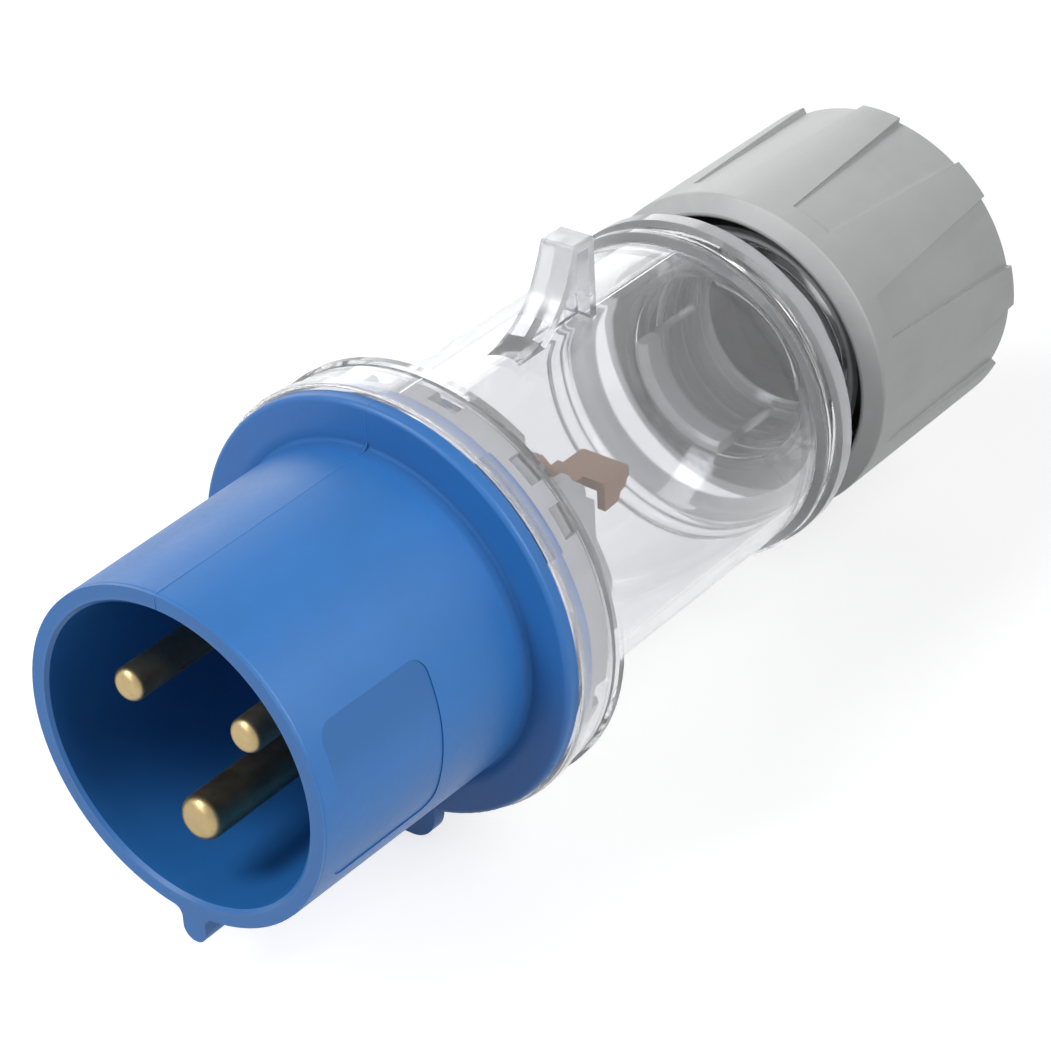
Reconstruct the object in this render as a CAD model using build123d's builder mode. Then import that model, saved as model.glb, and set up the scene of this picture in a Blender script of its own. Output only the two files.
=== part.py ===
"""Industrial plug, 32 A 250 V, two poles and earth, with a clear cable housing.

Millimetres. X runs along the plug axis from the mouth of the shroud (X 0) to the
cable end, Z points up through the retaining lug and the key rib points down.
"""

import os
from math import cos, radians, sin

from build123d import *

os.makedirs("parts", exist_ok=True)

# Clearances
RUNNING_GAP = 0.3
SLIDE_GAP = 0.2
SNUG_GAP = 0.05
CUT_OVER = 1.0

# Shroud with flange
SHROUD_R_FRONT = 30.3
SHROUD_FLARE = 0.7
SHROUD_R_REAR = SHROUD_R_FRONT + SHROUD_FLARE
SHROUD_WALL = 3.2
BORE_R = SHROUD_R_FRONT - SHROUD_WALL
MOUTH_CHAMFER = 0.6
MOUTH_R = BORE_R + MOUTH_CHAMFER
RIM_FILLET = 0.9
ROOT_FILLET = 0.6
FLANGE_X = 49.9
FLANGE_STEP = 7.6
FLANGE_R = SHROUD_R_REAR + FLANGE_STEP
FLANGE_T = 2.7
FLANGE_FILLET = 0.9
FLANGE_BACK_X = FLANGE_X + FLANGE_T
FLOOR_SET = 3.9
FLOOR_T = 5.6
FLOOR_X = FLANGE_X - FLOOR_SET
FLOOR_BACK_X = FLOOR_X + FLOOR_T
KEY_W = 4.8
KEY_H = 5.6
KEY_R = SHROUD_R_FRONT + KEY_H
KEY_ROOT_FILLET = 1.8
KEY_BASE_R = SHROUD_R_FRONT - SNUG_GAP
KEY_BASE_T = 1.2
TAB_W = 17.0
TAB_REACH = 5.8
TAB_ROOT = 4.1
TAB_R = FLANGE_R + TAB_REACH
TAB_INNER_R = FLANGE_R - TAB_ROOT
TAB_CORNER = 0.32 * TAB_W
PANEL_X0 = 4.0
PANEL_L = 24.2
PANEL_H = 28.6
PANEL_CORNER = 3.0
PANEL_DEPTH = 0.2

# Contact pins
PIN_R = 3.0
EARTH_PIN_R = 4.0
PIN_CIRCLE_R = 14.05
PIN_TIP_X = 2.9
PIN_TIP_ROUND = 0.5
PIN_SEAT_PROUD = 0.4
PIN_SEAT_X = FLOOR_X - PIN_SEAT_PROUD
PIN_SEAT_STEP = 0.8
PIN_COLLAR_STEP = 1.6
PIN_COLLAR_T = 2.0
TAIL_R = 2.0
EARTH_TAIL_R = 2.6
TAIL_HEAD_STEP = 0.6
TAIL_HEAD_T = 1.0

# Twist lock between shroud and housing
SKIRT_DROP = 2.6
SKIRT_T = 2.6
SKIRT_L = 5.4
SKIRT_R = FLANGE_R - SKIRT_DROP
SKIRT_R_IN = SKIRT_R - SKIRT_T
SKIRT_END_X = FLANGE_BACK_X + SKIRT_L
LOCK_COUNT = 4
LOCK_SPAN = 30.0
LOCK_START = 45.0
LOCK_RISE = 1.0
LOCK_EDGE = 0.4
SHROUD_LOCK_T = 1.9
SHROUD_LOCK_X = SKIRT_END_X - LOCK_EDGE - SHROUD_LOCK_T
SHROUD_LOCK_R = SKIRT_R + LOCK_RISE
HOUSING_LOCK_T = 1.8
HOUSING_LOCK_X = SHROUD_LOCK_X - RUNNING_GAP - HOUSING_LOCK_T
HOUSING_LOCK_R = SKIRT_R + RUNNING_GAP

# Contact carrier
CARRIER_R = SKIRT_R_IN - RUNNING_GAP
CARRIER_FACE_X = SKIRT_END_X + RUNNING_GAP
CARRIER_RING_T = 2.2
CARRIER_RING_L = 5.5
CARRIER_RING_R = SKIRT_R - SLIDE_GAP
CARRIER_RING_R_IN = CARRIER_RING_R - CARRIER_RING_T
CARRIER_RING_END_X = CARRIER_FACE_X + CARRIER_RING_L
CARRIER_RING_CHAMFER = 0.8
CARRIER_LEDGE_T = 1.1
CARRIER_LEDGE_X = CARRIER_FACE_X + CARRIER_LEDGE_T
CARRIER_LEDGE_R = CARRIER_RING_R_IN - CARRIER_RING_T
WINDOW_SET = 2.1
WINDOW_X = CARRIER_FACE_X + WINDOW_SET
WINDOW_SPAN = 9.0
WINDOW_ANGLES = (128.0, 144.0, 100.8, 79.2, 52.0, 36.0, 196.0, 344.0, 226.0, 314.0, 257.0, 283.0)

# Terminals: x runs along the plug, u points outwards from the pin axis, v sideways
TOWER_IN = 5.0
TOWER_WALL = 1.2
TOWER_L = 23.5
TOWER_FLOOR_U = -5.0
TOWER_TOP_U = 3.6
TOWER_END_X = CARRIER_FACE_X + TOWER_L
HINGE_BACK = 3.6
HINGE_X = TOWER_END_X - HINGE_BACK
HINGE_U = 5.4
HINGE_R = 1.5
CHEEK_R = 3.0
BAR_T = 1.2
BAR_HALF_W = 4.4
BAR_TOP_U = 3.2
BAR_BACK = 2.6
BAR_END_X = TOWER_END_X - BAR_BACK
BAR_U = TOWER_FLOOR_U + BAR_T
SPRING_T = 0.6
SPRING_HALF_W = 3.2
SPRING_SET = 4.3
SPRING_BEND = 1.2
SPRING_ARM_BACK = 5.5
SPRING_FOOT = 2.0
SPRING_X = CARRIER_FACE_X + SPRING_SET
SPRING_TOP_U = TOWER_TOP_U - SPRING_T / 2
SPRING_FOOT_U = BAR_U + SPRING_T / 2

# Clamp levers, three equal mouldings
LEVER_HALF_W = TOWER_IN - RUNNING_GAP
LEVER_HUB_R = 2.0
LEVER_LIFT = 0.2
LEVER_U0 = HINGE_U + LEVER_LIFT
LEVER_T = 1.8
LEVER_PAD_SET = 4.4
LEVER_PAD_L = 7.2
LEVER_PAD_X = HINGE_X + LEVER_PAD_SET
LEVER_END_X = LEVER_PAD_X + LEVER_PAD_L
LEVER_PAD_CORNER = 0.6
PAD_LOW_V = -9.0
PAD_HIGH_V = 0.7
LEVER_SKIRT_T = 1.6
LEVER_SKIRT_DEPTH = 3.4
LEVER_SKIRT_U = LEVER_U0 - LEVER_SKIRT_DEPTH
LEVER_WEB_T = 1.8

# Carrier side walls and the partition between the two live terminals
SIDE_WALL_Y = 18.0
SIDE_WALL_T = 1.6
SIDE_WALL_TOP = 19.0
SIDE_WALL_STEP = 5.2
SIDE_WALL_REAR_TOP = 11.3
SIDE_WALL_DEPTH = 13.0
SIDE_WALL_FLAT_BACK = 6.3
SIDE_WALL_STEP_BACK = 3.2
PARTITION_T = 2.4
PARTITION_TOP = 25.0
PARTITION_CUT = 7.0
PARTITION_REACH = 2.4
PARTITION_FOOT = 6.0

# Clear housing
COLLAR_X = FLANGE_BACK_X + RUNNING_GAP
COLLAR_R_IN = SHROUD_LOCK_R + RUNNING_GAP
COLLAR_WALL = 1.5
COLLAR_R = COLLAR_R_IN + COLLAR_WALL
COLLAR_LIP = 0.7
COLLAR_LIP_L = 2.6
COLLAR_LIP_R = COLLAR_R + COLLAR_LIP
COLLAR_LIP_END_X = COLLAR_X + COLLAR_LIP_L
COLLAR_LIP_FILLET = 0.5
BEAD_SET = 9.3
BEAD_W = 1.7
BEAD_RISE = 0.5
BEAD_RAMP = 0.4
BEAD_X0 = COLLAR_X + BEAD_SET
BEAD_X1 = BEAD_X0 + BEAD_W
BEAD_R = COLLAR_R + BEAD_RISE
BODY_R = 30.7
BODY_WALL = 2.5
BODY_R_IN = BODY_R - BODY_WALL
SHOULDER_L = 5.5
SHOULDER_FOOT = 1.6
SHOULDER_RISE = 3.5
SHOULDER_FILLET = 2.0
BODY_X0 = BEAD_X1 + SHOULDER_L
BODY_L = 63.6
RING_X0 = BODY_X0 + BODY_L
RING_L = 8.5
RING_STEP = 2.1
RING_LAND = 2.2
RING_GROOVE = 1.1
RING_GROOVE_L = 2.4
RING_RAMP = 0.5
RING_FILLET = 0.6
RING_END_X = RING_X0 + RING_L
RING_R = BODY_R + RING_STEP
FUNNEL_SET = 5.2
FUNNEL_X = RING_END_X - FUNNEL_SET
FUNNEL_FILLET = 5.0
FUNNEL_WALL = 3.4
SEAT_SET = 4.0
SEAT_X = RING_END_X + SEAT_SET
SEAT_LEDGE = 0.6
REAR_HOLE_R = 18.4
REAR_LIP_T = 1.2
FUNNEL_END_X = SEAT_X - REAR_LIP_T
FUNNEL_SLOPE = (BODY_R_IN - REAR_HOLE_R) / (FUNNEL_END_X - FUNNEL_X)
FUNNEL_ROOT_R = BODY_R_IN - FUNNEL_SLOPE * FUNNEL_SET + FUNNEL_WALL
NECK_R_IN = REAR_HOLE_R + SEAT_LEDGE
NECK_WALL = 1.9
NECK_R = NECK_R_IN + NECK_WALL
NECK_X = RING_END_X + (FUNNEL_ROOT_R - NECK_R) / FUNNEL_SLOPE
NECK_L = 26.5
NECK_END_X = RING_END_X + NECK_L
NECK_CHAMFER = 0.6

# Retaining lug on the housing: ramp and pocket as shares of the lug's length and height
LUG_SET = 13.6
LUG_X0 = BODY_X0 + LUG_SET
LUG_RAMP_L = 17.8
LUG_H = 15.2
LUG_SINK = 0.3
LUG_ROOT_R = BODY_R - LUG_SINK
LUG_BASE_R = BODY_R - BODY_WALL / 2
LUG_TOP = LUG_ROOT_R + LUG_H
LUG_HEAD_L = 5.6
LUG_REAR_X = LUG_X0 + LUG_RAMP_L + LUG_HEAD_L
LUG_W = 6.8
LUG_WEB_W = 1.6
LUG_WALL = 1.7
LUG_EDGE = 0.5
RAMP_SHARES = (
    (0.0, 0.0),
    (0.292, 0.059),
    (0.522, 0.191),
    (0.680, 0.329),
    (0.809, 0.507),
    (0.888, 0.684),
    (0.949, 0.842),
    (1.0, 1.0),
)
POCKET_SHARES = (
    (0.449, -0.026),
    (0.652, 0.132),
    (0.798, 0.316),
    (0.916, 0.513),
    (1.0, 0.711),
    (1.056, 0.895),
)

# Gland nut and slip ring
NUT_TRAVEL = 8.4
NUT_GAP = 9.6
NUT_X = RING_END_X + NUT_GAP
NUT_L = 47.5
NUT_END_X = NUT_X + NUT_L
THREAD_DEPTH = 0.6
NUT_THREAD_R = NECK_R + THREAD_DEPTH + RUNNING_GAP
NUT_TUBE_T = 2.6
NUT_TUBE_R = NUT_THREAD_R + NUT_TUBE_T
NUT_POCKET_W = 3.8
NUT_MOUTH_R = NUT_TUBE_R + NUT_POCKET_W
NUT_SKIRT_T = 3.9
NUT_R = NUT_MOUTH_R + NUT_SKIRT_T
NUT_LIP_DROP = 3.2
NUT_LIP_L = 1.9
NUT_LIP_R = NUT_R - NUT_LIP_DROP
NUT_LIP_X = NUT_X + NUT_LIP_L
NUT_LIP_FILLET = 0.6
NUT_END_FILLET = 0.5
NUT_TUBE_SET = 4.9
NUT_TUBE_X = NUT_X + NUT_TUBE_SET
NUT_TUBE_LEAD = 0.8
SLIP_SET = 13.0
SLIP_T = 3.5
SLIP_X = NECK_END_X + SLIP_SET
SLIP_R_IN = 14.0
SLIP_CHAMFER = 1.0
NUT_SEAT_X = SLIP_X + SLIP_T + SNUG_GAP
NUT_POCKET_FLOOR = 5.0
NUT_POCKET_X = NUT_SEAT_X - NUT_POCKET_FLOOR
NUT_WEB_T = 3.2
NUT_WEB_X = NUT_SEAT_X + NUT_WEB_T
NUT_HOLE_R = 17.4
NUT_SLEEVE_T = 3.2
NUT_SLEEVE_R = NUT_HOLE_R + NUT_SLEEVE_T
NUT_SLEEVE_SET = 0.6
NUT_FLARE = 1.8
NUT_FLARE_L = 2.4
NUT_SHELL_T = 4.3
NUT_SHELL_R_IN = NUT_R - NUT_SHELL_T
NUT_PADS = 9
NUT_PAD_START = 93.9
RECESS_SET = 6.9
RECESS_X = NUT_X + RECESS_SET
RECESS_SPAN_FRONT = 15.0
RECESS_SPAN_REAR = 26.0
RECESS_DEPTH_FRONT = 0.35
RECESS_DEPTH_REAR = 1.3
NUT_RIB_W = 1.8
NUT_RIB_SET = 2.1

# Gland sleeve in the neck and the seal that the nut pushes
COLLET_R = NECK_R_IN - SLIDE_GAP
COLLET_WALL = 2.5
COLLET_R_IN = COLLET_R - COLLET_WALL
COLLET_MOUTH = 0.7
COLLET_BASE_L = 3.4
COLLET_JAW_SPAN = 90.0
SEAL_L = 6.3
SEAL_CHAMFER = 0.8
SEAL_R_IN = 12.6
SEAL_R = NECK_R_IN - RUNNING_GAP
SEAL_END_X = SLIP_X - SNUG_GAP
SEAL_X0 = SEAL_END_X - SEAL_L
COLLET_END_X = SEAL_X0 - NUT_TRAVEL - SLIDE_GAP


def station(x):
    """Plane square to the plug axis, with local x along Y and local y along Z."""
    return Plane(origin=(x, 0, 0), x_dir=(0, 1, 0), z_dir=(1, 0, 0))


def corners(sketch, *points):
    """The sketch vertices that lie on the given points."""
    return [
        vertex
        for vertex in sketch.vertices()
        if any(abs(vertex.X - a) < 1e-4 and abs(vertex.Y - b) < 1e-4 for a, b in points)
    ]


def sector(inner_r, outer_r, centre, span):
    """A ring sector added to the open sketch, in degrees from local x."""
    start = centre - span / 2
    with BuildLine() as edge:
        outer = CenterArc((0, 0), outer_r, start, span)
        inner = CenterArc((0, 0), inner_r, start, span)
        Line(outer @ 0, inner @ 0)
        Line(outer @ 1, inner @ 1)
    make_face(edge.edges())


LOCK_ANGLES = [LOCK_START + k * 360 / LOCK_COUNT for k in range(LOCK_COUNT)]

# Each terminal: name, pin position, pin radius, tail radius and the outward direction
PIN_HEIGHT = PIN_CIRCLE_R * cos(radians(60))
PIN_SIDE = PIN_CIRCLE_R * sin(radians(60))
TERMINALS = (
    ("phase", (-PIN_SIDE, PIN_HEIGHT), PIN_R, TAIL_R, 1),
    ("neutral", (PIN_SIDE, PIN_HEIGHT), PIN_R, TAIL_R, 1),
    ("earth", (0.0, -PIN_CIRCLE_R), EARTH_PIN_R, EARTH_TAIL_R, -1),
)


def side_plane(pin, outward):
    """Plane through a terminal: local x along the plug, local y outwards."""
    return Plane(origin=(0, *pin), x_dir=(1, 0, 0), z_dir=(0, -outward, 0))


def top_plane(pin, outward, u):
    """Plane over a terminal at height u, local x along the plug, local y sideways."""
    return Plane(origin=(0, pin[0], pin[1] + outward * u), x_dir=(1, 0, 0), z_dir=(0, 0, outward))


# Blue shroud: one moulding with flange, key rib, grip tab, floor and lock skirt
with BuildPart() as label_panel:
    with BuildSketch(Plane.XZ.offset(SHROUD_R_FRONT / 2)):
        with Locations((PANEL_X0 + PANEL_L / 2, 0)):
            RectangleRounded(PANEL_L, PANEL_H, PANEL_CORNER)
    extrude(amount=SHROUD_R_FRONT)
    with BuildSketch(Plane.XZ):
        with BuildLine():
            Polyline(
                (0, 0),
                (0, SHROUD_R_FRONT - PANEL_DEPTH),
                (FLANGE_X, SHROUD_R_REAR - PANEL_DEPTH),
                (FLANGE_X, 0),
                close=True,
            )
        make_face()
    revolve(axis=Axis.X, mode=Mode.SUBTRACT)

with BuildPart() as shroud_insert:
    with BuildSketch(Plane.XZ) as wall:
        with BuildLine():
            Polyline(
                (0, MOUTH_R),
                (0, SHROUD_R_FRONT),
                (FLANGE_X, SHROUD_R_REAR),
                (FLANGE_X, FLANGE_R),
                (FLANGE_BACK_X, FLANGE_R),
                (FLANGE_BACK_X, SKIRT_R),
                (SKIRT_END_X, SKIRT_R),
                (SKIRT_END_X, SKIRT_R_IN),
                (FLOOR_BACK_X, SKIRT_R_IN),
                (FLOOR_BACK_X, 0),
                (FLOOR_X, 0),
                (FLOOR_X, BORE_R),
                (MOUTH_CHAMFER, BORE_R),
                close=True,
            )
        make_face()
        fillet(corners(wall, (0, SHROUD_R_FRONT)), RIM_FILLET)
        fillet(corners(wall, (FLANGE_X, SHROUD_R_REAR)), ROOT_FILLET)
        fillet(corners(wall, (FLANGE_X, FLANGE_R)), FLANGE_FILLET)
    revolve(axis=Axis.X)
    with BuildSketch(station(0)) as key:
        Circle(KEY_BASE_R)
        with Locations((0, -(KEY_R - KEY_W / 2) / 2)):
            Rectangle(KEY_W, KEY_R - KEY_W / 2)
        with Locations((0, -(KEY_R - KEY_W / 2))):
            Circle(KEY_W / 2)
        root_z = -((KEY_BASE_R**2 - KEY_W**2 / 4) ** 0.5)
        fillet(corners(key, (-KEY_W / 2, root_z), (KEY_W / 2, root_z)), KEY_ROOT_FILLET)
        Circle(KEY_BASE_R - KEY_BASE_T, mode=Mode.SUBTRACT)
    extrude(amount=FLANGE_X)
    with BuildSketch(station(FLANGE_X)) as tab:
        with Locations((0, -(TAB_R + TAB_INNER_R) / 2)):
            Rectangle(TAB_W, TAB_R - TAB_INNER_R)
        fillet(corners(tab, (-TAB_W / 2, -TAB_R), (TAB_W / 2, -TAB_R)), TAB_CORNER)
    extrude(amount=FLANGE_T)
    with BuildSketch(station(SHROUD_LOCK_X)):
        for angle in LOCK_ANGLES:
            sector(SKIRT_R - SKIRT_T / 2, SHROUD_LOCK_R, angle, LOCK_SPAN)
    extrude(amount=SHROUD_LOCK_T)
    with BuildSketch(station(FLOOR_X - CUT_OVER)):
        for name, pin, pin_r, tail_r, outward in TERMINALS:
            with Locations(pin):
                Circle(pin_r + PIN_SEAT_STEP + SNUG_GAP)
    extrude(amount=FLOOR_T + 2 * CUT_OVER, mode=Mode.SUBTRACT)
    add(label_panel.part, mode=Mode.SUBTRACT)
shroud_insert.part.label = "shroud_insert"
export_step(shroud_insert.part, "parts/shroud_insert.step")

# Turned brass pins, each with a seat in the floor, a collar and a riveted tail
for name, pin, pin_r, tail_r, outward in TERMINALS:
    with BuildPart() as contact_pin:
        with BuildSketch(Plane(origin=(0, *pin), x_dir=(1, 0, 0), z_dir=(0, -1, 0))) as turned:
            with BuildLine():
                Polyline(
                    (PIN_TIP_X, 0),
                    (PIN_TIP_X, pin_r),
                    (PIN_SEAT_X, pin_r),
                    (PIN_SEAT_X, pin_r + PIN_SEAT_STEP),
                    (FLOOR_BACK_X, pin_r + PIN_SEAT_STEP),
                    (FLOOR_BACK_X, pin_r + PIN_COLLAR_STEP),
                    (FLOOR_BACK_X + PIN_COLLAR_T, pin_r + PIN_COLLAR_STEP),
                    (FLOOR_BACK_X + PIN_COLLAR_T, tail_r),
                    (CARRIER_FACE_X + BAR_T, tail_r),
                    (CARRIER_FACE_X + BAR_T, tail_r + TAIL_HEAD_STEP),
                    (CARRIER_FACE_X + BAR_T + TAIL_HEAD_T, tail_r + TAIL_HEAD_STEP),
                    (CARRIER_FACE_X + BAR_T + TAIL_HEAD_T, 0),
                    close=True,
                )
            make_face()
            fillet(corners(turned, (PIN_TIP_X, pin_r)), PIN_TIP_ROUND * pin_r)
        revolve(axis=Axis((0, *pin), (1, 0, 0)))
    contact_pin.part.label = f"{name}_pin"
    export_step(contact_pin.part, f"parts/{name}_pin.step")

# White contact carrier: disc, slotted ring, terminal towers, side walls and partition
with BuildPart() as contact_carrier:
    with BuildSketch(Plane.XZ) as disc:
        with BuildLine():
            Polyline(
                (FLOOR_BACK_X, 0),
                (FLOOR_BACK_X, CARRIER_R),
                (CARRIER_FACE_X, CARRIER_R),
                (CARRIER_FACE_X, CARRIER_RING_R),
                (CARRIER_RING_END_X - CARRIER_RING_CHAMFER, CARRIER_RING_R),
                (CARRIER_RING_END_X, CARRIER_RING_R - CARRIER_RING_CHAMFER),
                (CARRIER_RING_END_X, CARRIER_RING_R_IN),
                (CARRIER_LEDGE_X, CARRIER_RING_R_IN),
                (CARRIER_LEDGE_X, CARRIER_LEDGE_R),
                (CARRIER_FACE_X, CARRIER_LEDGE_R),
                (CARRIER_FACE_X, 0),
                close=True,
            )
        make_face()
    revolve(axis=Axis.X)
    with BuildSketch(station(WINDOW_X)):
        for angle in WINDOW_ANGLES:
            sector(CARRIER_RING_R_IN - CUT_OVER, CARRIER_RING_R + CUT_OVER, angle, WINDOW_SPAN)
    extrude(amount=CARRIER_RING_L, mode=Mode.SUBTRACT)
    with BuildSketch(Plane.XZ):
        with BuildLine():
            Polyline(
                (CARRIER_FACE_X, -PARTITION_FOOT),
                (TOWER_END_X + PARTITION_REACH, -PARTITION_FOOT),
                (TOWER_END_X + PARTITION_REACH, PARTITION_TOP - PARTITION_CUT),
                (TOWER_END_X + PARTITION_REACH - PARTITION_CUT, PARTITION_TOP),
                (CARRIER_FACE_X, PARTITION_TOP),
                close=True,
            )
        make_face()
    extrude(amount=PARTITION_T / 2, both=True)
    for side in (1, -1):
        with BuildSketch(Plane.XZ.offset(side * SIDE_WALL_Y)):
            with BuildLine():
                Polyline(
                    (CARRIER_FACE_X, -SIDE_WALL_DEPTH),
                    (TOWER_END_X, -SIDE_WALL_DEPTH),
                    (TOWER_END_X, SIDE_WALL_REAR_TOP),
                    (TOWER_END_X - SIDE_WALL_STEP_BACK, SIDE_WALL_TOP - SIDE_WALL_STEP),
                    (TOWER_END_X - SIDE_WALL_FLAT_BACK, SIDE_WALL_TOP),
                    (CARRIER_FACE_X, SIDE_WALL_TOP),
                    close=True,
                )
            make_face()
        extrude(amount=side * SIDE_WALL_T)
    for name, pin, pin_r, tail_r, outward in TERMINALS:
        floor_z = pin[1] + outward * (TOWER_FLOOR_U - TOWER_WALL / 2)
        wall_z = pin[1] + outward * (TOWER_FLOOR_U - TOWER_WALL + TOWER_TOP_U) / 2
        with BuildSketch(station(CARRIER_FACE_X)):
            with Locations((pin[0], floor_z)):
                Rectangle(2 * (TOWER_IN + TOWER_WALL), TOWER_WALL)
            with Locations(
                (pin[0] - TOWER_IN - TOWER_WALL / 2, wall_z),
                (pin[0] + TOWER_IN + TOWER_WALL / 2, wall_z),
            ):
                Rectangle(TOWER_WALL, TOWER_TOP_U - TOWER_FLOOR_U + TOWER_WALL)
        extrude(amount=TOWER_L)
        for side in (1, -1):
            with BuildSketch(side_plane(pin, outward).offset(side * TOWER_IN)):
                with Locations((HINGE_X, HINGE_U)):
                    Circle(CHEEK_R)
                with Locations((HINGE_X, HINGE_U / 2)):
                    Rectangle(2 * CHEEK_R, HINGE_U)
            extrude(amount=side * TOWER_WALL)
        with BuildSketch(side_plane(pin, outward)):
            with Locations((HINGE_X, HINGE_U)):
                Circle(HINGE_R + SNUG_GAP)
        extrude(amount=TOWER_IN + TOWER_WALL, both=True, mode=Mode.SUBTRACT)
        with BuildSketch(station(FLOOR_BACK_X)):
            with Locations(pin):
                Circle(pin_r + PIN_COLLAR_STEP + SNUG_GAP)
        extrude(amount=PIN_COLLAR_T, mode=Mode.SUBTRACT)
        with BuildSketch(station(FLOOR_BACK_X)):
            with Locations(pin):
                Circle(tail_r + SNUG_GAP)
        extrude(amount=CARRIER_FACE_X - FLOOR_BACK_X + CUT_OVER, mode=Mode.SUBTRACT)
contact_carrier.part.label = "contact_carrier"
export_step(contact_carrier.part, "parts/contact_carrier.step")

# Stamped contact bars, riveted on the pin tails
for name, pin, pin_r, tail_r, outward in TERMINALS:
    with BuildPart() as contact_bar:
        with BuildSketch(side_plane(pin, outward)):
            with BuildLine():
                Polyline(
                    (CARRIER_FACE_X, TOWER_FLOOR_U),
                    (BAR_END_X, TOWER_FLOOR_U),
                    (BAR_END_X, BAR_U),
                    (CARRIER_FACE_X + BAR_T, BAR_U),
                    (CARRIER_FACE_X + BAR_T, BAR_TOP_U),
                    (CARRIER_FACE_X, BAR_TOP_U),
                    close=True,
                )
            make_face()
        extrude(amount=BAR_HALF_W, both=True)
        with BuildSketch(station(CARRIER_FACE_X - CUT_OVER)):
            with Locations(pin):
                Circle(tail_r)
        extrude(amount=BAR_T + 2 * CUT_OVER, mode=Mode.SUBTRACT)
    contact_bar.part.label = f"{name}_bar"
    export_step(contact_bar.part, f"parts/{name}_bar.step")

# Hairpin clamp springs pressing on the bars
for name, pin, pin_r, tail_r, outward in TERMINALS:
    with BuildPart() as clamp_spring:
        with BuildSketch(side_plane(pin, outward)):
            with BuildLine():
                Polyline(
                    (HINGE_X - SPRING_ARM_BACK, SPRING_TOP_U),
                    (SPRING_X + SPRING_BEND, SPRING_TOP_U),
                    (SPRING_X, SPRING_TOP_U - SPRING_BEND),
                    (SPRING_X, SPRING_TOP_U - 2 * SPRING_BEND),
                    (SPRING_X + SPRING_BEND, SPRING_TOP_U - 3 * SPRING_BEND),
                    (HINGE_X - SPRING_FOOT, SPRING_FOOT_U),
                    (HINGE_X, SPRING_FOOT_U),
                )
            trace(line_width=SPRING_T)
        extrude(amount=SPRING_HALF_W, both=True)
    clamp_spring.part.label = f"{name}_spring"
    export_step(clamp_spring.part, f"parts/{name}_spring.step")

# Coloured clamp levers with trunnions in the tower cheeks
for name, pin, pin_r, tail_r, outward in TERMINALS:
    with BuildPart() as clamp_lever:
        with BuildSketch(side_plane(pin, outward)):
            with Locations((HINGE_X, HINGE_U)):
                Circle(LEVER_HUB_R)
            with Locations((HINGE_X + LEVER_PAD_SET / 2, LEVER_U0 + LEVER_T / 2)):
                Rectangle(LEVER_PAD_SET, LEVER_T)
        extrude(amount=LEVER_HALF_W, both=True)
        with BuildSketch(side_plane(pin, outward)):
            with Locations((HINGE_X, HINGE_U)):
                Circle(HINGE_R)
        extrude(amount=TOWER_IN + TOWER_WALL - SNUG_GAP, both=True)
        with BuildSketch(top_plane(pin, outward, LEVER_U0)):
            with Locations((LEVER_PAD_X + LEVER_PAD_L / 2, (PAD_LOW_V + PAD_HIGH_V) / 2)):
                RectangleRounded(LEVER_PAD_L, PAD_HIGH_V - PAD_LOW_V, LEVER_PAD_CORNER)
        extrude(amount=LEVER_T)
        with BuildSketch(side_plane(pin, outward)):
            with Locations((LEVER_PAD_X, LEVER_U0 + LEVER_T / 2)):
                Rectangle(2 * LEVER_T, LEVER_T)
        extrude(amount=LEVER_WEB_T, both=True)
        with BuildSketch(side_plane(pin, outward).offset(-PAD_LOW_V)):
            with BuildLine():
                Polyline(
                    (LEVER_PAD_X, LEVER_U0 + LEVER_T / 2),
                    (LEVER_PAD_X, LEVER_SKIRT_U),
                    (LEVER_PAD_X + LEVER_PAD_L / 2, LEVER_SKIRT_U + LEVER_LIFT),
                    (LEVER_PAD_X + 0.6 * LEVER_PAD_L, LEVER_SKIRT_U + LEVER_SKIRT_DEPTH / 2),
                    (LEVER_PAD_X + 0.8 * LEVER_PAD_L, LEVER_SKIRT_U + 0.6 * LEVER_SKIRT_DEPTH),
                    (LEVER_END_X - LEVER_PAD_CORNER, LEVER_U0 + LEVER_T / 2),
                    close=True,
                )
            make_face()
        extrude(amount=-LEVER_SKIRT_T)
        with BuildSketch(side_plane(pin, outward)):
            with BuildLine():
                Polyline(
                    (HINGE_X, HINGE_U),
                    (HINGE_X, HINGE_U - LEVER_HUB_R),
                    (LEVER_PAD_X, LEVER_U0 - LEVER_T),
                    (LEVER_END_X - LEVER_T, LEVER_U0),
                    (LEVER_END_X - LEVER_T, LEVER_U0 + LEVER_T / 2),
                    (HINGE_X, LEVER_U0 + LEVER_T / 2),
                    close=True,
                )
            make_face()
        extrude(amount=LEVER_WEB_T / 2, both=True)
    clamp_lever.part.label = f"{name}_lever"
    export_step(clamp_lever.part, f"parts/{name}_lever.step")

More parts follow.
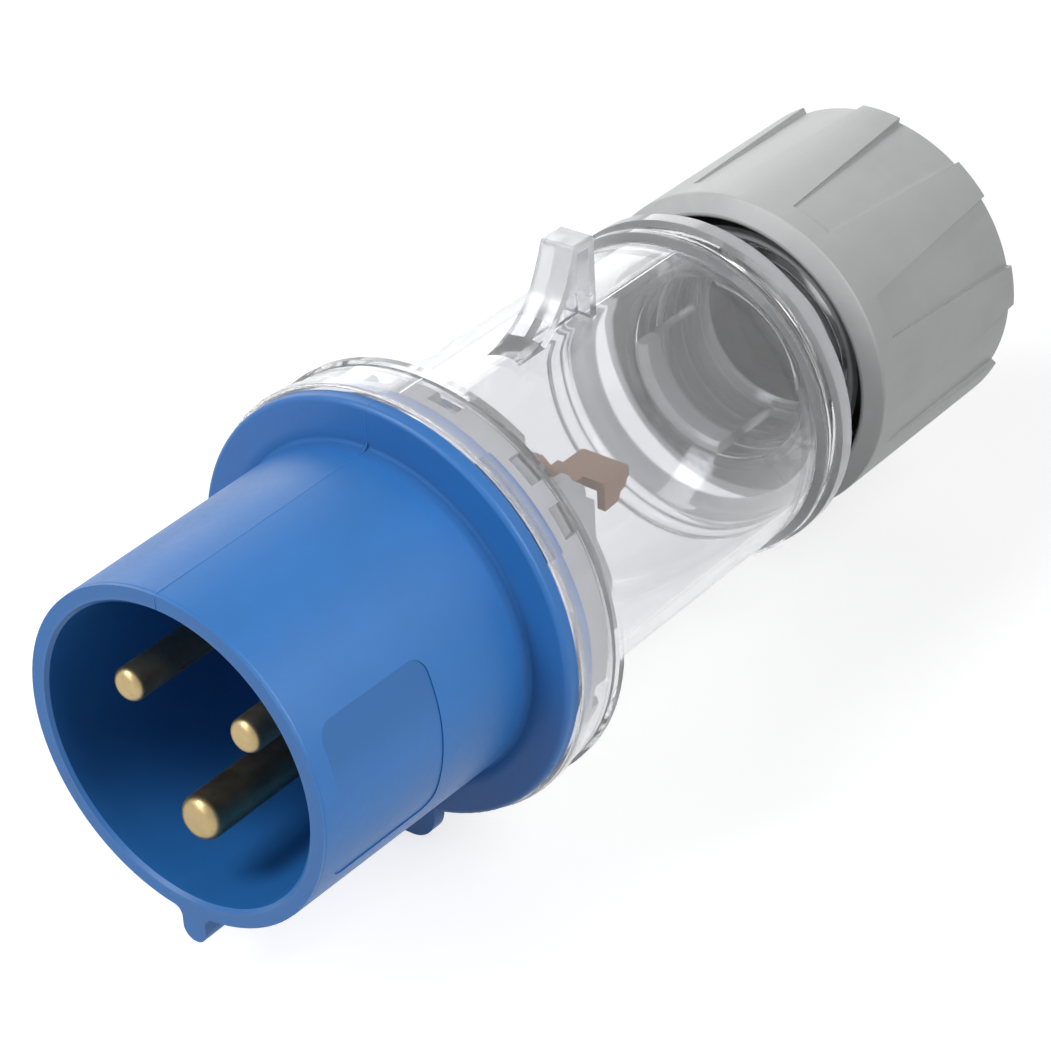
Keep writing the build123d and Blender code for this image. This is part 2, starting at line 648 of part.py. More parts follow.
# Clear housing: collar, body, rear ring, threaded neck and retaining lug in one moulding
RAMP = [(LUG_X0 + a * LUG_RAMP_L, LUG_ROOT_R + b * LUG_H) for a, b in RAMP_SHARES]
POCKET = [(LUG_X0 + a * LUG_RAMP_L, LUG_ROOT_R + b * LUG_H) for a, b in POCKET_SHARES]
with BuildPart() as lug:
    with BuildSketch(Plane.XZ):
        with BuildLine():
            Spline(*RAMP)
            Polyline(
                RAMP[-1],
                (LUG_REAR_X, LUG_TOP),
                (LUG_REAR_X, LUG_BASE_R),
                (LUG_X0, LUG_BASE_R),
                RAMP[0],
            )
        make_face()
    extrude(amount=LUG_W / 2, both=True)
    fillet(lug.faces().sort_by(Axis.Z)[-1].edges(), LUG_EDGE)
    for side in (1, -1):
        with BuildSketch(Plane.XZ.offset(side * LUG_WEB_W / 2)):
            with BuildLine():
                Spline(*POCKET)
                Polyline(
                    POCKET[-1],
                    (LUG_REAR_X - LUG_WALL, POCKET[-1][1]),
                    (LUG_REAR_X - LUG_WALL, POCKET[0][1]),
                    POCKET[0],
                )
            make_face()
        extrude(amount=side * LUG_W, mode=Mode.SUBTRACT)

with BuildPart() as housing:
    with BuildSketch(Plane.XZ) as shell:
        with BuildLine():
            Polyline(
                (COLLAR_X, COLLAR_R_IN),
                (COLLAR_X, COLLAR_LIP_R),
                (COLLAR_LIP_END_X, COLLAR_LIP_R),
                (COLLAR_LIP_END_X + BEAD_RAMP, COLLAR_R),
                (BEAD_X0, COLLAR_R),
                (BEAD_X0 + BEAD_RAMP, BEAD_R),
                (BEAD_X1, BEAD_R),
                (BEAD_X1 + BEAD_RAMP, COLLAR_R),
                (BODY_X0 - SHOULDER_FOOT, BODY_R + SHOULDER_RISE),
                (BODY_X0, BODY_R),
                (RING_X0, BODY_R),
                (RING_X0 + RING_RAMP, RING_R - RING_RAMP),
                (RING_X0 + RING_LAND, RING_R - RING_RAMP),
                (RING_X0 + RING_LAND + RING_RAMP, RING_R - RING_GROOVE),
                (RING_X0 + RING_LAND + RING_GROOVE_L, RING_R - RING_GROOVE),
                (RING_X0 + RING_LAND + RING_GROOVE_L + RING_RAMP, RING_R),
                (RING_END_X, RING_R),
                (RING_END_X, FUNNEL_ROOT_R),
                (NECK_X, NECK_R),
                (NECK_END_X, NECK_R),
                (NECK_END_X, NECK_R_IN),
                (SEAT_X, NECK_R_IN),
                (SEAT_X, REAR_HOLE_R),
                (FUNNEL_END_X, REAR_HOLE_R),
                (FUNNEL_X, BODY_R_IN),
                (BODY_X0 - BODY_WALL, BODY_R_IN),
                (BODY_X0 - BODY_WALL - SHOULDER_FOOT, BODY_R + BODY_WALL),
                (BEAD_X0, COLLAR_R_IN),
                close=True,
            )
        make_face()
        fillet(corners(shell, (COLLAR_X, COLLAR_LIP_R)), COLLAR_LIP_FILLET)
        fillet(corners(shell, (BODY_X0 - SHOULDER_FOOT, BODY_R + SHOULDER_RISE)), SHOULDER_FILLET)
        fillet(corners(shell, (FUNNEL_X, BODY_R_IN)), FUNNEL_FILLET)
        fillet(corners(shell, (RING_END_X, RING_R)), RING_FILLET)
        chamfer(corners(shell, (NECK_END_X, NECK_R)), NECK_CHAMFER)
    revolve(axis=Axis.X)
    with BuildSketch(station(HOUSING_LOCK_X)):
        for angle in LOCK_ANGLES:
            sector(HOUSING_LOCK_R, COLLAR_R_IN + COLLAR_WALL / 2, angle, LOCK_SPAN)
    extrude(amount=HOUSING_LOCK_T)
    add(lug.part)
housing.part.label = "housing"
export_step(housing.part, "parts/housing.step")

# Gland sleeve: a ring at the rear with two opposite jaws that reach to the seat
with BuildPart() as cable_collet:
    with BuildSketch(Plane.XZ) as jaw:
        with BuildLine():
            Polyline(
                (SEAT_X, COLLET_R_IN),
                (SEAT_X, COLLET_R),
                (COLLET_END_X, COLLET_R),
                (COLLET_END_X, COLLET_R_IN),
                close=True,
            )
        make_face()
        chamfer(corners(jaw, (SEAT_X, COLLET_R_IN)), COLLET_MOUTH)
    revolve(axis=Axis.X)
    with BuildSketch(station(SEAT_X - CUT_OVER)):
        for angle in (45.0, 225.0):
            sector(COLLET_R_IN - CUT_OVER, COLLET_R + CUT_OVER, angle, 180.0 - COLLET_JAW_SPAN)
    extrude(amount=COLLET_END_X - COLLET_BASE_L - SEAT_X + CUT_OVER, mode=Mode.SUBTRACT)
cable_collet.part.label = "cable_collet"
export_step(cable_collet.part, "parts/cable_collet.step")

with BuildPart() as cable_seal:
    with BuildSketch(Plane.XZ) as sleeve:
        with BuildLine():
            Polyline(
                (SEAL_X0, SEAL_R_IN),
                (SEAL_X0, SEAL_R),
                (SEAL_END_X, SEAL_R),
                (SEAL_END_X, SEAL_R_IN),
                close=True,
            )
        make_face()
        chamfer(corners(sleeve, (SEAL_X0, SEAL_R_IN), (SEAL_X0, SEAL_R)), SEAL_CHAMFER)
    revolve(axis=Axis.X)
cable_seal.part.label = "cable_seal"
export_step(cable_seal.part, "parts/cable_seal.step")

with BuildPart() as slip_ring:
    with BuildSketch(Plane.XZ) as ring:
        with BuildLine():
            Polyline(
                (SLIP_X, SLIP_R_IN),
                (SLIP_X, NUT_THREAD_R - RUNNING_GAP),
                (SLIP_X + SLIP_T, NUT_THREAD_R - RUNNING_GAP),
                (SLIP_X + SLIP_T, SLIP_R_IN),
                close=True,
            )
        make_face()
        chamfer(corners(ring, (SLIP_X + SLIP_T, SLIP_R_IN)), SLIP_CHAMFER)
    revolve(axis=Axis.X)
slip_ring.part.label = "slip_ring"
export_step(slip_ring.part, "parts/slip_ring.step")

# Gland nut with tapering recesses between its pads
with BuildPart() as nut_recess:
    with BuildSketch(station(RECESS_X)):
        sector(NUT_R - RECESS_DEPTH_FRONT, NUT_R + CUT_OVER, 0, RECESS_SPAN_FRONT)
    with BuildSketch(station(NUT_END_X + CUT_OVER)):
        sector(NUT_R - RECESS_DEPTH_REAR, NUT_R + CUT_OVER, 0, RECESS_SPAN_REAR)
    loft(ruled=True)

with BuildPart() as gland_nut:
    with BuildSketch(Plane.XZ) as body:
        with BuildLine():
            Polyline(
                (NUT_X, NUT_MOUTH_R),
                (NUT_X, NUT_LIP_R),
                (NUT_LIP_X, NUT_R),
                (NUT_END_X, NUT_R),
                (NUT_END_X, NUT_SHELL_R_IN),
                (NUT_WEB_X, NUT_SHELL_R_IN),
                (NUT_WEB_X, NUT_SLEEVE_R),
                (NUT_END_X - NUT_SLEEVE_SET, NUT_SLEEVE_R),
                (NUT_END_X - NUT_SLEEVE_SET, NUT_HOLE_R + NUT_FLARE),
                (NUT_END_X - NUT_SLEEVE_SET - NUT_FLARE_L, NUT_HOLE_R),
                (NUT_SEAT_X, NUT_HOLE_R),
                (NUT_SEAT_X, NUT_THREAD_R),
                (NUT_TUBE_X, NUT_THREAD_R),
                (NUT_TUBE_X, NUT_TUBE_R),
                (NUT_POCKET_X, NUT_TUBE_R),
                (NUT_POCKET_X, NUT_MOUTH_R),
                close=True,
            )
        make_face()
        fillet(corners(body, (NUT_LIP_X, NUT_R)), NUT_LIP_FILLET)
        chamfer(corners(body, (NUT_TUBE_X, NUT_THREAD_R)), NUT_TUBE_LEAD)
        fillet(corners(body, (NUT_END_X, NUT_R)), NUT_END_FILLET)
    revolve(axis=Axis.X)
    with BuildSketch(station(NUT_WEB_X - NUT_WEB_T / 4)):
        with PolarLocations((NUT_SLEEVE_R + NUT_SHELL_R_IN) / 2, NUT_PADS, start_angle=NUT_PAD_START):
            Rectangle(NUT_SHELL_R_IN - NUT_SLEEVE_R + CUT_OVER, NUT_RIB_W)
    extrude(amount=NUT_END_X - NUT_RIB_SET - NUT_WEB_X + NUT_WEB_T / 4)
    for k in range(NUT_PADS):
        turn = NUT_PAD_START + (k + 0.5) * 360 / NUT_PADS
        add(nut_recess.part.rotate(Axis.X, turn), mode=Mode.SUBTRACT)
gland_nut.part.label = "gland_nut"
export_step(gland_nut.part, "parts/gland_nut.step")
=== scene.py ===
import math

import bpy
import numpy as np
from mathutils import Matrix, Vector


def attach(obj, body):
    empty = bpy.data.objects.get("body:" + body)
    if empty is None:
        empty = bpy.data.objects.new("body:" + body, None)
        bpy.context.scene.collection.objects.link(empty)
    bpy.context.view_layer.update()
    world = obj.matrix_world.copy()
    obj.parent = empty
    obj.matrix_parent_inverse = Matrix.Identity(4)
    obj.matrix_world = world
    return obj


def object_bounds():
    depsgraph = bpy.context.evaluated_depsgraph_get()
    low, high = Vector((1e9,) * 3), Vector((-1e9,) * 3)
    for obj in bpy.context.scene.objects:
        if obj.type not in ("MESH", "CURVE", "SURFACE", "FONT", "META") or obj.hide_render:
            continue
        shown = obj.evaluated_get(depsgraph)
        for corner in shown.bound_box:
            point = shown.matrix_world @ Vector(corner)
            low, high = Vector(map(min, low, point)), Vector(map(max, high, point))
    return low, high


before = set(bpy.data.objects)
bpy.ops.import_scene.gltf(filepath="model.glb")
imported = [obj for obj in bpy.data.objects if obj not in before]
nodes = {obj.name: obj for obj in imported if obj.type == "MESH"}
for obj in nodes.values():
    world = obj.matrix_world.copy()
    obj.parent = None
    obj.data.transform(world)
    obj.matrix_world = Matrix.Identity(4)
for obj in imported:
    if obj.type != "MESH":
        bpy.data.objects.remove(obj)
cad_lo, cad_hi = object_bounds()
scene = bpy.context.scene

# Lengths of the object are in mm until they become coordinates, which are in metres
MM = 0.001
WHITE = (1.0, 1.0, 1.0, 1.0)

# Sizes of the solids that the finishes and the new pieces follow
MOUTH_R = 27.75
SHROUD_R = 30.3
SHROUD_GAIN = 0.7
RIM_ROUND = 0.9
CORNER_R = 1.6
FLANGE_X = 49.9
FLANGE_R = 38.6
FLANGE_ROUND = 0.9
COLLAR_R = 38.8
TUBE_R = 30.7
NECK_R = 20.9


# Materials: every one is built on Object coordinates

class Tree:
    """A material with a Principled shader, and short names for the nodes that feed it."""

    def __init__(self, name, **sockets):
        self.mat = bpy.data.materials.new(name)
        self.mat.use_nodes = True
        self.tree = self.mat.node_tree
        self.shader = self.tree.nodes["Principled BSDF"]
        self.coord = self.tree.nodes.new("ShaderNodeTexCoord").outputs["Object"]
        for key, value in sockets.items():
            self.shader.inputs[key.replace("_", " ")].default_value = value

    def feed(self, socket, value):
        """Links a field to a socket, or sets a constant on it."""
        if isinstance(value, bpy.types.NodeSocket):
            self.tree.links.new(value, socket)
        else:
            socket.default_value = value

    def put(self, socket, value):
        """Feeds a socket of the Principled shader."""
        self.feed(self.shader.inputs[socket], value)

    def node(self, kind, inputs, **settings):
        made = self.tree.nodes.new(kind)
        for key, value in settings.items():
            setattr(made, key, value)
        for key, value in inputs.items():
            self.feed(made.inputs[key], value)
        return made

    def noise(self, scale, detail=3.0, rough=0.5, stretch=None):
        where = self.coord
        if stretch:
            where = self.node("ShaderNodeMapping", {"Vector": where, "Scale": stretch}).outputs[0]
        inputs = {"Vector": where, "Scale": scale, "Detail": detail, "Roughness": rough}
        return self.node("ShaderNodeTexNoise", inputs).outputs["Fac"]

    def spread(self, field, low, high, start=0.3, end=0.7):
        """Maps a field from start-end onto low-high, clamped."""
        inputs = {
            "Value": field, "From Min": start, "From Max": end, "To Min": low, "To Max": high,
        }
        return self.node("ShaderNodeMapRange", inputs).outputs[0]

    def rise(self, field, start, end):
        """0 below start and 1 above end, both in mm."""
        return self.spread(field, 0.0, 1.0, start * MM, end * MM)

    def fall(self, field, start, end, top=1.0, rest=0.0):
        """The value top below start and rest above end, both in mm."""
        return self.spread(field, top, rest, start * MM, end * MM)

    def band(self, field, low, high, soft):
        """1 between low and high, with soft edges, all in mm."""
        up = self.rise(field, low - soft, low + soft)
        down = self.fall(field, high - soft, high + soft)
        return self.product(up, down)

    def math(self, kind, a, b=0.0, c=0.0):
        return self.node("ShaderNodeMath", {0: a, 1: b, 2: c}, operation=kind).outputs[0]

    def product(self, a, b):
        return self.math("MULTIPLY", a, b)

    def larger(self, a, b):
        return self.math("MAXIMUM", a, b)

    def add(self, base, factor, field):
        """base + factor * field"""
        return self.math("MULTIPLY_ADD", field, factor, base)

    def mix(self, share, a, b):
        """The colour a where share is 0 and b where it is 1."""
        return self.node("ShaderNodeMix", {0: share, 6: a, 7: b}, data_type="RGBA").outputs[2]

    def bump(self, height, strength, distance, below=None):
        inputs = {"Height": height, "Strength": strength, "Distance": distance}
        if below is not None:
            inputs["Normal"] = below
        return self.node("ShaderNodeBump", inputs).outputs[0]

    def axes(self):
        return self.node("ShaderNodeSeparateXYZ", {0: self.coord}).outputs

    def radius(self):
        """Distance from the plug axis."""
        y, z = self.axes()[1:]
        return self.math("SQRT", self.add(self.product(z, z), y, y))


def shade(colour, factor):
    return tuple(min(1.0, c * factor) for c in colour[:3]) + (1.0,)


def moulded(name, colour, rough, patch=0.08, smooth=None, dark_reflection=None, painted_shade=None, dust_and_shade=None):
    """Moulded plastic: slow tone patches, flow lines, rubbed streaks and a fine grain.

    The last four are fields, each a function of the tree: smooth is polished, dark_reflection
    darkens the colour as a painted dark reflection, painted_shade darkens it as mottled painted
    shade, and dust_and_shade is a dull corner darkened with painted shade. A polished field has
    no grain, and its roughness stays above 0.3, because lower values left dark specks in renders.
    """
    t = Tree(name)
    slow = t.noise(scale=38.0, detail=4.0, rough=0.6)
    flow = t.noise(scale=55.0, detail=3.0, rough=0.55, stretch=(1.0, 3.0, 3.0))
    streaks = t.noise(scale=160.0, detail=5.0, rough=0.75, stretch=(0.35, 1.0, 1.0))
    rub = t.spread(streaks, 0.0, 1.0, start=0.6, end=0.75)

    tone = t.mix(t.spread(slow, 0.0, 1.0), shade(colour, 1.0 - patch), shade(colour, 1.0 + patch))
    tone = t.mix(t.spread(flow, 0.0, 0.35), tone, shade(colour, 1.0 + 1.6 * patch))
    tone = t.mix(t.product(rub, 0.25), tone, shade(colour, 1.0 + 3.0 * patch))
    # Painted shade: the field darkens the colour to 0.15 of it, mottled by noise
    if painted_shade:
        shade_mottle = t.spread(t.noise(scale=240.0, detail=4.0, rough=0.6), 0.85, 1.0)
        tone = t.mix(t.product(painted_shade(t), shade_mottle), tone, shade(colour, 0.15))
    # Painted dark reflection: the field darkens the colour to 0.85 of it
    if dark_reflection:
        tone = t.mix(dark_reflection(t), tone, shade(colour, 0.85))

    grain = t.noise(scale=900.0, detail=2.0, rough=0.6)
    wear = t.add(t.product(slow, 0.65), 0.35, grain)
    dull = t.add(t.spread(wear, rough - 0.07, rough + 0.08), 0.06, rub)
    # A dull corner: rougher, and darkened to 0.9 of the colour as painted shade
    if dust_and_shade:
        corner = dust_and_shade(t)
        tone = t.mix(corner, tone, shade(colour, 0.9))
        dull = t.add(dull, 0.35, corner)
    if smooth:
        polish = smooth(t)
        gloss = t.spread(slow, rough - 0.14, rough - 0.06)
        dull = t.add(dull, t.math("SUBTRACT", gloss, dull), polish)
        grain = t.product(grain, t.math("SUBTRACT", 1.0, polish))

    t.put("Base Color", tone)
    t.put("Roughness", dull)
    waves = t.bump(slow, strength=0.12, distance=0.12 * MM)
    t.put("Normal", t.bump(grain, strength=0.25, distance=0.04 * MM, below=waves))
    return t.mat


def metal(name, colour, rough, stretch, depth):
    """Worked metal: tool marks along one direction, depth deep, dull patches and darker spots."""
    t = Tree(name, Metallic=1.0)
    marks = t.noise(scale=900.0, detail=4.0, rough=0.65, stretch=stretch)
    slow = t.noise(scale=120.0, detail=4.0, rough=0.65)
    spots = t.spread(t.noise(scale=700.0, detail=3.0, rough=0.6), 0.0, 1.0, start=0.62, end=0.74)
    tone = t.mix(t.spread(slow, 0.0, 1.0), shade(colour, 0.80), shade(colour, 1.06))
    t.put("Base Color", t.mix(t.product(spots, 0.5), tone, shade(colour, 0.5)))
    wear = t.add(t.product(slow, 0.5), 0.5, marks)
    t.put("Roughness", t.spread(wear, rough - 0.08, rough + 0.12))
    t.put("Normal", t.bump(marks, strength=0.2, distance=depth * MM))
    return t.mat


def clear(name, colour, rough, weight, milky, matt_and_shade=None, draw=0.25):
    """Clear moulding: slow flow waves, a faint haze and fine wipe marks, drawn out along X by
    1 / draw; the field milky is cloudier, and the field matt_and_shade is a ground face whose
    colour is greyed as painted shade."""
    t = Tree(name, IOR=1.5)
    haze = t.noise(scale=90.0, detail=4.0, rough=0.6)
    flow = t.noise(scale=24.0, detail=2.0, rough=0.4, stretch=(0.6, 1.0, 1.0))
    wipe = t.noise(scale=420.0, detail=3.0, rough=0.7, stretch=(draw, 1.0, 1.0))
    wear = t.add(t.product(flow, 0.6), 0.4, wipe)

    cloud = milky(t)
    tone = t.mix(t.spread(haze, 0.0, 1.0), shade(colour, 0.985), shade(colour, 1.015))
    dull = t.add(t.spread(wear, rough * 0.4, rough * 1.7), 0.12, cloud)
    through = t.add(weight, -0.35, cloud)
    # A ground face: rougher and less clear, its colour greyed to 0.55 as painted shade
    if matt_and_shade:
        face = matt_and_shade(t)
        tone = t.mix(face, tone, shade(colour, 0.55))
        dull = t.add(dull, 0.3, face)
        through = t.add(through, -0.6, face)

    t.put("Base Color", tone)
    t.put("Roughness", dull)
    t.put("Transmission Weight", through)
    t.put("Normal", t.bump(flow, strength=0.3, distance=0.3 * MM))
    return t.mat


# Fields: where on a piece a finish changes

def label_panel(t):
    """The upper half of the label panel on the shroud's -Y side, found by its sunk floor; it is
    polished, and its colour carries a painted dark reflection.
    """
    x, y, z = t.axes()
    below_cone = t.add(t.radius(), -SHROUD_GAIN / FLANGE_X, x)
    floor_level = t.band(below_cone, SHROUD_R - 0.6, SHROUD_R - 0.1, 0.03)
    sunk = t.product(floor_level, t.band(x, 2.5, 30.0, 0.3))
    upper_side = t.product(t.fall(y, -22.0, -20.0), t.rise(z, 1.0, 9.0))
    return t.product(sunk, upper_side)


def polished(t):
    """The label panel's upper half and the bore of the shroud."""
    bore = t.product(t.fall(t.radius(), 27.9, 28.3), t.fall(t.axes()[0], 46.5, 47.0))
    return t.larger(label_panel(t), bore)


def flange_corner(t):
    """The inside corner between the shroud and its flange, made duller and darkened with painted
    shade.
    """
    return t.product(t.band(t.axes()[0], 47.6, 50.6, 0.5), t.fall(t.radius(), 31.6, 33.4))


def cloudy(t):
    """The lid lug above the tube, and at half strength the collar's front lip."""
    x, _, z = t.axes()
    lug = t.product(t.rise(z, 32.0, 36.0), t.rise(x, 80.0, 82.0))
    return t.larger(lug, t.fall(x, 54.5, 57.0, top=0.5))


def ring_back(t):
    """The ground rear face of the ring, from the funnel outwards, greyed with painted shade."""
    return t.product(t.band(t.axes()[0], 141.2, 141.7, 0.1), t.rise(t.radius(), 25.0, 25.4))


def sleeve_mouth(t):
    """The first 5 mm of the sleeve's jaw on the +Y side, rubbed cloudy by cables."""
    x, y, _ = t.axes()
    return t.product(t.fall(x, 150.0, 151.0), t.rise(y, -2.0, 0.0))


def nut_inside_shade(t):
    """Painted shade on the nut's faces in the pocket behind its mouth and on the lower half of
    those in its bore, less so at the cable end."""
    x, _, z = t.axes()
    radius = t.radius()
    settled = t.larger(t.fall(z, -8.0, 0.0), t.rise(radius, 23.0, 23.6))
    inside = t.product(settled, t.fall(radius, 28.25, 28.6))
    return t.product(t.fall(x, 172.0, 182.0, rest=0.45), inside)


def carrier_slot_shade(t):
    """Painted shade on what lies behind the slots in the carrier's ring."""
    return t.product(t.band(t.axes()[0], 50.0, 66.0, 0.2), t.fall(t.radius(), 33.5, 33.8))


finish = {
    "blue": moulded(
        "blue_moulding", (0.022, 0.15, 0.44), 0.45,
        smooth=polished, dark_reflection=label_panel, dust_and_shade=flange_corner,
    ),
    "grey": moulded("grey_moulding", (0.56, 0.568, 0.57), 0.42, painted_shade=nut_inside_shade),
    "white": moulded("white_moulding", (0.50, 0.505, 0.51), 0.45, patch=0.04, painted_shade=carrier_slot_shade),
    "brown": moulded("brown_moulding", (0.26, 0.135, 0.07), 0.40),
    "pale_blue": moulded("lever_blue_moulding", (0.05, 0.19, 0.48), 0.40),
    "green": moulded("lever_green_moulding", (0.16, 0.33, 0.05), 0.40),
    "slip": moulded("slip_moulding", (0.62, 0.62, 0.60), 0.35, patch=0.04),
    "rubber": moulded("grey_rubber", (0.055, 0.057, 0.06), 0.5),
    "brass": metal("turned_brass", (0.47, 0.36, 0.185), 0.36, (1.0, 0.12, 0.12), 0.02),
    "tinned": metal("tinned_copper", (0.72, 0.70, 0.67), 0.36, (0.15, 1.0, 1.0), 0.03),
    "steel": metal("spring_strip", (0.60, 0.61, 0.63), 0.36, (0.1, 1.0, 1.0), 0.03),
    "clear": clear(
        "clear_moulding", (0.915, 0.92, 0.94), 0.03, 0.95, milky=cloudy, matt_and_shade=ring_back,
    ),
    "sleeve": clear(
        "sleeve_moulding", (0.88, 0.885, 0.89), 0.06, 0.85, milky=sleeve_mouth, draw=0.04,
    ),
}
FINISH_OF = {
    "shroud_insert": "blue",
    "phase_pin": "brass", "neutral_pin": "brass", "earth_pin": "brass",
    "contact_carrier": "white",
    "phase_bar": "tinned", "neutral_bar": "tinned", "earth_bar": "tinned",
    "phase_spring": "steel", "neutral_spring": "steel", "earth_spring": "steel",
    "phase_lever": "brown", "neutral_lever": "pale_blue", "earth_lever": "green",
    "housing": "clear",
    "cable_collet": "sleeve", "cable_seal": "rubber", "slip_ring": "slip", "gland_nut": "grey",
}
for node, key in FINISH_OF.items():
    slots = nodes[node].data.materials
    slots.clear()
    slots.append(finish[key])


# New pieces: surfaces worked out on whole grids

def swept_piece(name, points, body, material):
    """A mesh from a grid of points in mm: each row is a closed section, and the rows follow one
    another along the sweep, with one quad between neighbours."""
    rows, cols = points.shape[:2]
    here = np.arange(rows * cols).reshape(rows, cols)
    beside = np.roll(here, -1, 1)
    quads = np.stack([here[:-1], here[1:], beside[1:], beside[:-1]], -1).reshape(-1, 4)
    mesh = bpy.data.meshes.new(name)
    mesh.from_pydata(points.reshape(-1, 3) * MM, [], quads)
    mesh.polygons.foreach_set("use_smooth", np.ones(len(quads), bool))
    mesh.materials.append(finish[material])
    mesh.update()
    made = bpy.data.objects.new(name, mesh)
    scene.collection.objects.link(made)
    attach(made, body)


def parting_line(name, outline, angle, width, height, body, material):
    """A mould parting line: a low bead of the given width that follows an outline of (X, radius)
    points at one polar angle. Across it, the top is a parabola of the given height, a number or
    one value per point, over a flat underside, and a quarter of the height sinks in the moulding.
    """
    along = np.gradient(outline, axis=0)
    along /= np.linalg.norm(along, axis=1, keepdims=True)
    normal = np.stack([-along[:, 1], along[:, 0]], 1)
    top = np.linspace(-1.0, 1.0, 7)
    under = np.linspace(1.0, -1.0, 5)[1:-1]
    profile = np.concatenate([1.0 - top ** 2, np.zeros_like(under)]) - 0.25
    lift = np.broadcast_to(height, len(outline))[:, None] * profile
    line = outline[:, None, :] + normal[:, None, :] * lift[:, :, None]
    x, radius = line[..., 0], line[..., 1]
    side = np.broadcast_to(np.concatenate([top, under]) * width / 2, radius.shape)
    y = radius * math.cos(angle) - side * math.sin(angle)
    z = radius * math.sin(angle) + side * math.cos(angle)
    swept_piece(name, np.stack([x, y, z], -1), body, material)


def straight(start, end, steps):
    """Points on a line between two (X, radius) points."""
    return np.linspace(start, end, steps)


def arc(x, radius, bend, start, end, steps=8):
    """Points on an arc of radius bend about (X, radius), between two angles in degrees."""
    a = np.radians(np.linspace(start, end, steps))
    return np.stack([x + bend * np.cos(a), radius + bend * np.sin(a)], 1)


def on_shroud(x):
    """The (X, radius) point of the shroud's cone at one station."""
    return x, SHROUD_R + SHROUD_GAIN * x / FLANGE_X


corner_x = FLANGE_X - CORNER_R
seam = np.concatenate([
    straight((0.0, MOUTH_R), (0.0, 29.3), 5),
    arc(RIM_ROUND, SHROUD_R - RIM_ROUND, RIM_ROUND, 180, 91),
    straight(on_shroud(1.5), on_shroud(48.0), 60),
    arc(corner_x, on_shroud(corner_x)[1] + CORNER_R, CORNER_R, 272, 358),
    straight((FLANGE_X, 33.2), (FLANGE_X, 37.5), 8),
    arc(FLANGE_X + FLANGE_ROUND, FLANGE_R - FLANGE_ROUND, FLANGE_ROUND, 178, 92),
    straight((51.2, FLANGE_R), (52.5, FLANGE_R), 4),
])
# The seam is highest at the mouth and fades towards the flange
seam_height = np.clip(0.14 - 0.005 * seam[:, 0], 0.05, 0.14)
parting_line(
    "shroud_parting_line", seam, math.radians(90), 0.36, seam_height,
    "front", "blue",
)
HOUSING_SEAM_ANGLE = math.radians(93)
parting_line(
    "tube_parting_line", straight((106.5, TUBE_R), (132.6, TUBE_R), 40),
    HOUSING_SEAM_ANGLE, 0.30, 0.08, "rear_shell", "clear",
)
parting_line(
    "collar_parting_line", straight((56.2, COLLAR_R), (62.0, COLLAR_R), 10),
    HOUSING_SEAM_ANGLE, 0.40, 0.12, "rear_shell", "clear",
)


def screw_thread(name, start, end, pitch, root, depth, body, material):
    """An external screw thread: a rounded trapezoid swept along a helix of the given pitch, its
    crest a depth above the root radius and its foot 0.05 mm in it; the depth grows from nothing and
    fades to nothing over a fifth of a turn at the ends."""
    turns = (end - start) / pitch
    s = np.linspace(0.0, 1.0, int(turns * 120))[:, None]
    fade = np.clip(np.minimum(s, 1.0 - s) * turns / 0.2, 0.02, 1.0)
    # The section, along the axis in shares of the pitch and outwards in shares of the depth
    along = np.array([-0.34, -0.27, -0.18, -0.14, 0.14, 0.18, 0.27, 0.34, 0.20, -0.20])
    high = np.array([0.0, 0.42, 0.93, 1.0, 1.0, 0.93, 0.42, 0.0, -0.15, -0.15])
    turn = 2 * np.pi * turns * s
    x = start + (end - start) * s + along * pitch
    radius = root - 0.05 + depth * high * fade
    points = np.stack([x, -radius * np.sin(turn), radius * np.cos(turn)], -1)
    swept_piece(name, points, body, material)


screw_thread(
    "neck_thread", 147.4, 165.0, 6.0, NECK_R, 0.60, "rear_shell", "clear",
)


# Stage: pale floor, white surround and soft lamps

FLOOR_HALF = 6.0
floor_z = cad_lo.z
floor_mesh = bpy.data.meshes.new("floor")
floor_corners = [
    (x * FLOOR_HALF, y * FLOOR_HALF, floor_z) for x, y in ((-1, -1), (1, -1), (1, 1), (-1, 1))
]
floor_mesh.from_pydata(floor_corners, [], [(0, 1, 2, 3)])
floor = bpy.data.objects.new("floor", floor_mesh)
scene.collection.objects.link(floor)


def seen_directly(tree):
    """1 for rays from the camera, mirrored rays and rays that came through clear plastic."""
    path = tree.nodes.new("ShaderNodeLightPath")
    found = path.outputs["Is Camera Ray"]
    for kind in ("Is Glossy Ray", "Is Transmission Ray"):
        most = tree.nodes.new("ShaderNodeMath")
        most.operation = "MAXIMUM"
        tree.links.new(found, most.inputs[0])
        tree.links.new(path.outputs[kind], most.inputs[1])
        found = most.outputs[0]
    return found


# The floor is grey paper to the lamps and nearly white to the eye, and whiter far from the object
ground = Tree("floor_paper", Roughness=0.9, Emission_Color=WHITE)
paper = ground.mix(ground.noise(scale=3.0), (0.46, 0.46, 0.46, 1.0), (0.49, 0.49, 0.49, 1.0))
ground.put("Base Color", paper)
away = ground.node("ShaderNodeVectorMath", {0: ground.coord}, operation="LENGTH").outputs["Value"]
glow = ground.spread(away, 0.71, 0.93, start=0.4, end=1.2)
ground.put("Emission Strength", ground.product(seen_directly(ground.tree), glow))
floor_mesh.materials.append(ground.mat)

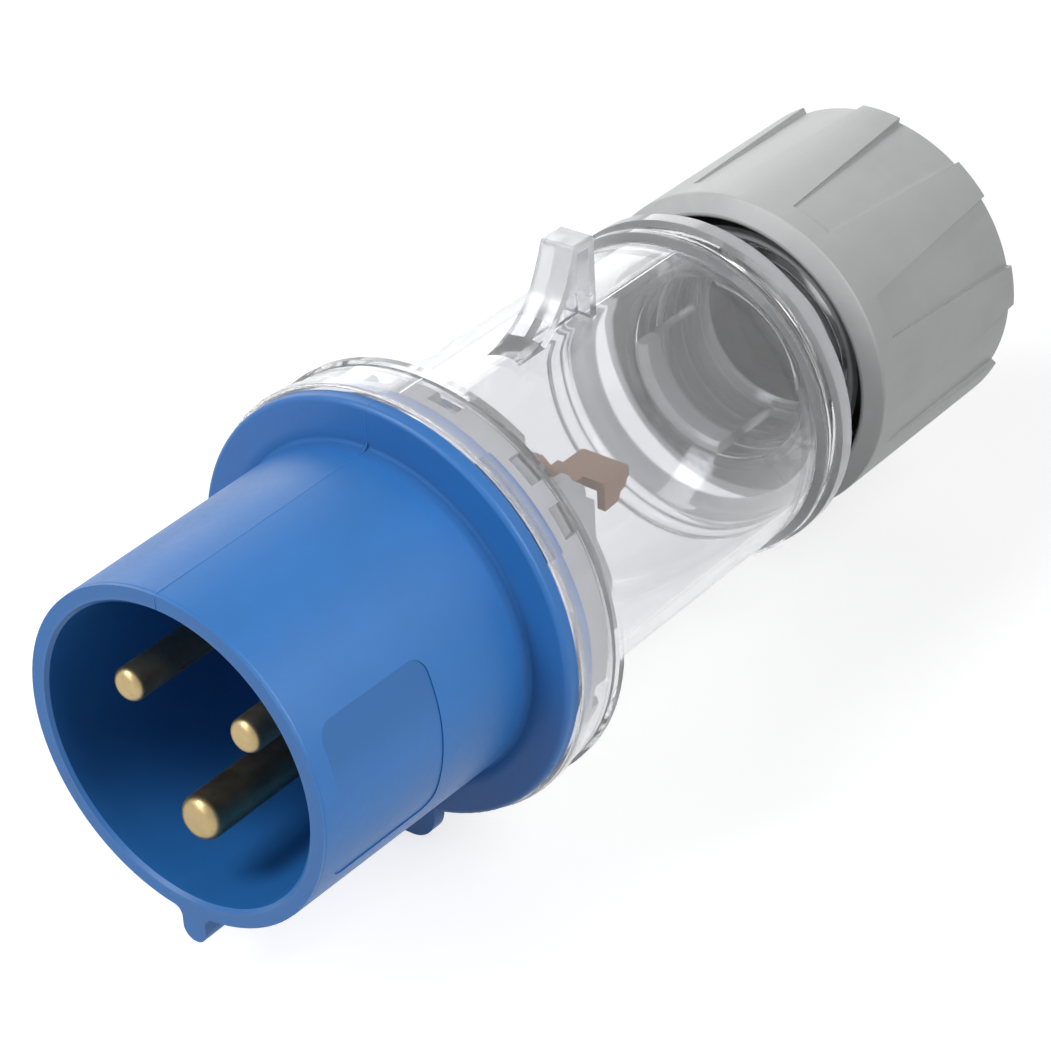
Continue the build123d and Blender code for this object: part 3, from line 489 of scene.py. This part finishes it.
# The surround is a weak fill to the object and white to the eye
SURROUND_FILL, SURROUND_SEEN = 0.13, 1.0
world = bpy.data.worlds.new("studio")
scene.world = world
world.use_nodes = True
surround = world.node_tree
level = surround.nodes.new("ShaderNodeMapRange")
surround.links.new(seen_directly(surround), level.inputs["Value"])
level.inputs["To Min"].default_value = SURROUND_FILL
level.inputs["To Max"].default_value = SURROUND_SEEN
background = surround.nodes["Background"]
background.inputs["Color"].default_value = WHITE
surround.links.new(level.outputs[0], background.inputs["Strength"])


def softbox(name, place, size, power, target, spread):
    """An area lamp in metres and watts that faces its target, with the spread in degrees."""
    data = bpy.data.lights.new(name, "AREA")
    data.shape = "RECTANGLE"
    data.size, data.size_y = size
    data.energy = power
    data.spread = math.radians(spread)
    lamp = bpy.data.objects.new(name, data)
    lamp.location = place
    lamp.rotation_mode = "QUATERNION"
    lamp.rotation_quaternion = (Vector(target) - Vector(place)).to_track_quat("-Z", "Y")
    scene.collection.objects.link(lamp)


MIDDLE, MOUTH_SIDE = (0.095, 0.0, 0.0), (0.0, -0.02, 0.0)
for lamp_row in (
    ("key_softbox", (-0.38, 0.28, 0.60), (0.36, 0.36), 3.7, MIDDLE, 180),
    ("front_softbox", (-0.50, 0.12, 0.25), (0.30, 0.30), 0.6, MIDDLE, 180),
    ("right_softbox", (0.15, -0.55, 0.60), (0.40, 0.40), 2.0, MIDDLE, 180),
    ("near_fill", (0.035, -0.26, 0.14), (0.12, 0.12), 0.035, MOUTH_SIDE, 50),
    ("back_softbox", (0.75, 0.75, 0.34), (0.8, 0.5), 2.0, MIDDLE, 180),
):
    softbox(*lamp_row)


# Camera: fitted to the photograph's rims, with the plug then rolled on to its rest

PHOTO_PX, FOCAL_PX, SENSOR_MM = 1051.0, 3300.0, 36.0
right = Vector((0.6095, -0.7927, -0.0125))
down = Vector((-0.4425, -0.3270, -0.8350))
forward = Vector((0.6578, 0.5144, -0.5501))
centre = Vector((-285.56, -292.80, 309.20)) * MM
roll = Matrix.Rotation(math.radians(2.2), 3, "X")
cam_data = bpy.data.cameras.new("camera")
cam_data.sensor_width = SENSOR_MM
cam_data.lens = FOCAL_PX / PHOTO_PX * SENSOR_MM
cam_data.clip_start, cam_data.clip_end = 0.01, 50.0
cam = bpy.data.objects.new("camera", cam_data)
cam_axes = Matrix((right, -down, -forward)).transposed()
cam.matrix_world = Matrix.LocRotScale(roll @ centre, (roll @ cam_axes).to_quaternion(), None)
scene.collection.objects.link(cam)
scene.camera = cam
scene.view_settings.view_transform = "Standard"

# Light goes back and forth many times in the thick rims of the clear housing
scene.cycles.max_bounces = 24
scene.cycles.glossy_bounces = 16
scene.cycles.transmission_bounces = 24
